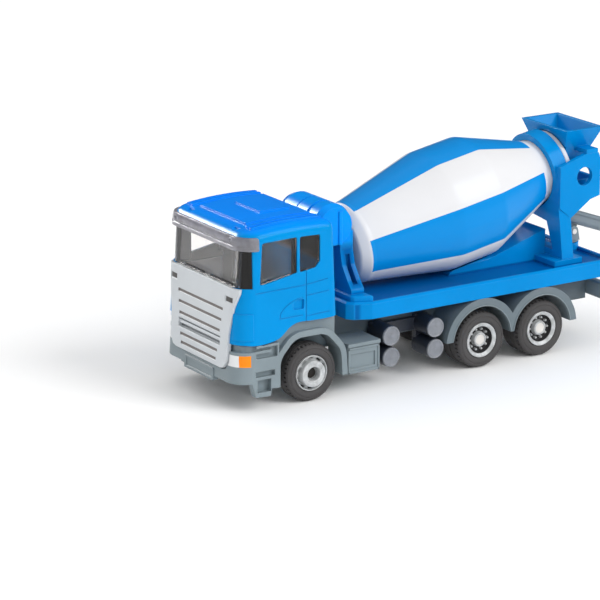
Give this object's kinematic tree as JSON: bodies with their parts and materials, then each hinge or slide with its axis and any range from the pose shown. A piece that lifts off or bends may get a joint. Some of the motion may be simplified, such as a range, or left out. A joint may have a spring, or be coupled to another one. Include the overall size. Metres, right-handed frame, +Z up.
{
  "type": "toy cement mixer",
  "caption": "Small die-cast toy cement mixer truck with free-rolling wheels, a turning drum, and a chute that swings and tips.",
  "frame": {"origin": "on the floor under the middle of the truck's box, with the chute at rest", "axes": "+Y towards the back of the truck, +X towards its left-hand side, +Z up"},
  "size_m": [0.0308, 0.1084, 0.046],
  "materials": {
    "cab_blue": "gloss blue enamel over die-cast zinc",
    "mixer_blue": "gloss moulded plastic",
    "drum_white": "white moulded plastic with printed blue stripes",
    "bumper_grey": "satin moulded plastic",
    "chassis_grey": "satin moulded plastic",
    "tank_grey": "frosted moulded plastic",
    "chute_grey": "satin moulded plastic",
    "grille_silver": "silver-grey moulded plastic",
    "smoke_clear": "clear smoked plastic",
    "visor_clear": "clear smoked plastic",
    "rim_silver": "silver-painted plastic",
    "tyre_rubber": "matte black rubber",
    "steel": "bright drawn steel"
  },
  "bodies": {
    "truck": {"cab_shell": "cab_blue", "window_insert": "smoke_clear", "sun_visor": "visor_clear", "grille_panel": "grille_silver", "front_bumper": "bumper_grey", "chassis_frame": "chassis_grey", "rivets": "steel", "step_box_left": "bumper_grey", "step_box_right": "bumper_grey", "mudguard_left": "bumper_grey", "mudguard_right": "bumper_grey", "air_tanks_left": "tank_grey", "air_tanks_right": "tank_grey", "rear_lamp_bar": "bumper_grey", "mixer_deck": "mixer_blue", "front_tower": "mixer_blue", "water_tank": "mixer_blue", "rear_support": "mixer_blue", "hopper": "mixer_blue", "discharge_funnel": "mixer_blue"},
    "front_wheels": {"front_axle": "steel", "front_rim_left": "rim_silver", "front_rim_right": "rim_silver", "front_tyre_left": "tyre_rubber", "front_tyre_right": "tyre_rubber"},
    "middle_wheels": {"middle_axle": "steel", "middle_rim_left": "rim_silver", "middle_rim_right": "rim_silver", "middle_tyre_left": "tyre_rubber", "middle_tyre_right": "tyre_rubber"},
    "rear_wheels": {"rear_axle": "steel", "rear_rim_left": "rim_silver", "rear_rim_right": "rim_silver", "rear_tyre_left": "tyre_rubber", "rear_tyre_right": "tyre_rubber"},
    "drum": {"drum_shell": "drum_white", "drum_head": "drum_white"},
    "chute_turntable": {"chute_bracket": "bumper_grey", "chute_pin": "steel"},
    "tipping_chute": {"chute": "chute_grey"}
  },
  "joints": [
    {"name": "front_wheels_roll", "type": "hinge", "parent": "truck", "child": "front_wheels", "pos_m": [0, -0.03611, 0.006], "axis": [1, 0, 0], "continuous": true},
    {"name": "middle_wheels_roll", "type": "hinge", "parent": "truck", "child": "middle_wheels", "pos_m": [0, 0.00589, 0.006], "axis": [1, 0, 0], "continuous": true},
    {"name": "rear_wheels_roll", "type": "hinge", "parent": "truck", "child": "rear_wheels", "pos_m": [0, 0.02139, 0.006], "axis": [1, 0, 0], "continuous": true},
    {"name": "drum_turn", "type": "hinge", "parent": "truck", "child": "drum", "pos_m": [0, -0.01784, 0.02723], "axis": [0, 0.9823, 0.1874], "continuous": true},
    {"name": "chute_swing", "type": "hinge", "parent": "truck", "child": "chute_turntable", "pos_m": [0, 0.03799, 0.0196], "axis": [0, 0, 1], "range_deg": [-60, 60]},
    {"name": "chute_tip", "type": "hinge", "parent": "chute_turntable", "child": "tipping_chute", "pos_m": [0, 0.03799, 0.0223], "axis": [1, 0, 0], "range_deg": [-8, 15]}
  ]
}
